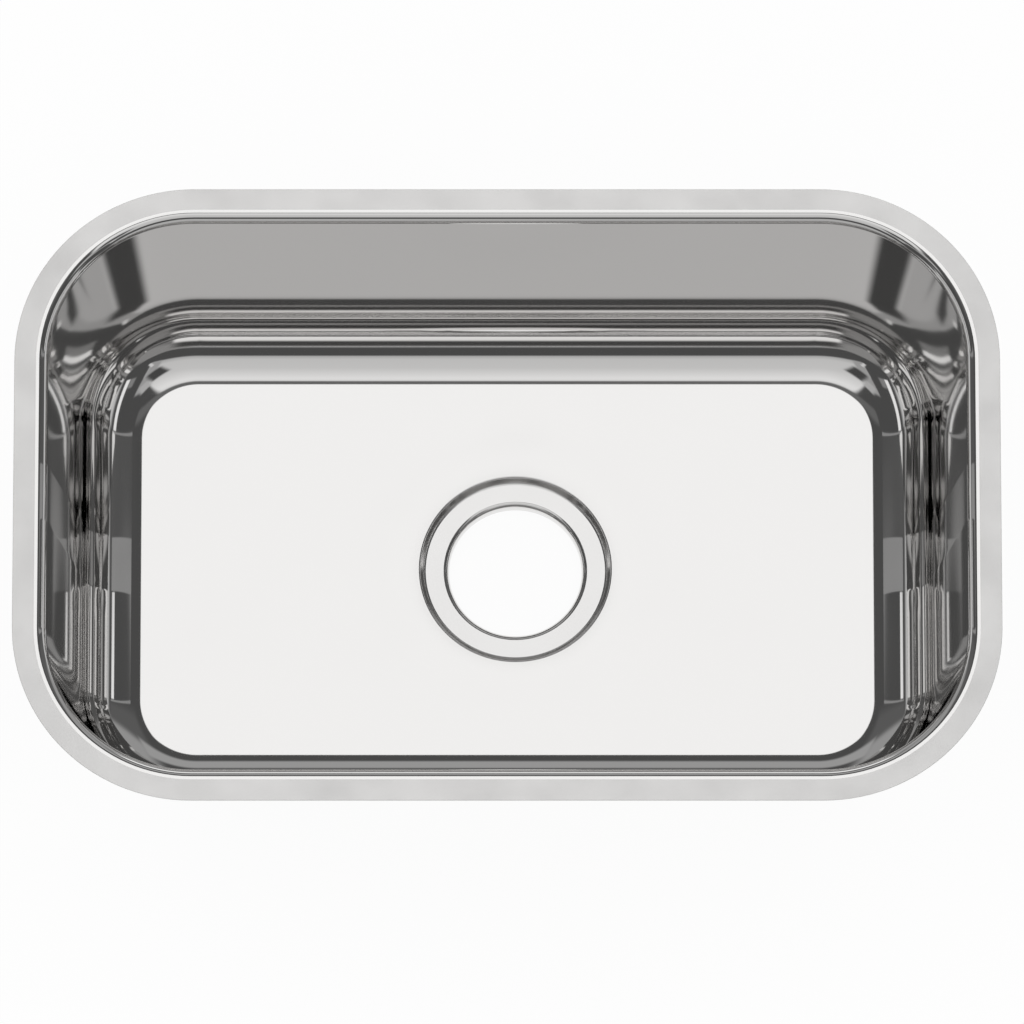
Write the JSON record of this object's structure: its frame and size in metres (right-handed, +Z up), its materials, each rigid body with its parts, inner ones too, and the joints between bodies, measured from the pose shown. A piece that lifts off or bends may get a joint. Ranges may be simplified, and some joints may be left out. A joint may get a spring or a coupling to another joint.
{
  "type": "undermount kitchen sink",
  "caption": "Single rectangular bowl of drawn stainless steel with a flat undermount flange, leaning polished walls, a stepped round strainer outlet and bonded damping pads.",
  "frame": {"origin": "centre of the bowl's opening, in the flange's top plane, which is the underside of the worktop", "axes": "+X along the sink to the right as a person stands at it, +Y from the front to the back, +Z up out of the bowl"},
  "size_m": [0.6, 0.386, 0.1826],
  "materials": {
    "steel": "mirror polished inside the bowl, satin on the flange and outside",
    "damping": "matt butyl rubber"
  },
  "bodies": {
    "root": {"bowl": "steel", "floor_pad_front_left": "damping", "floor_pad_front_right": "damping", "floor_pad_back_left": "damping", "floor_pad_back_right": "damping", "wall_pad_front": "damping", "wall_pad_back": "damping", "wall_pad_left": "damping", "wall_pad_right": "damping"}
  },
  "joints": []
}
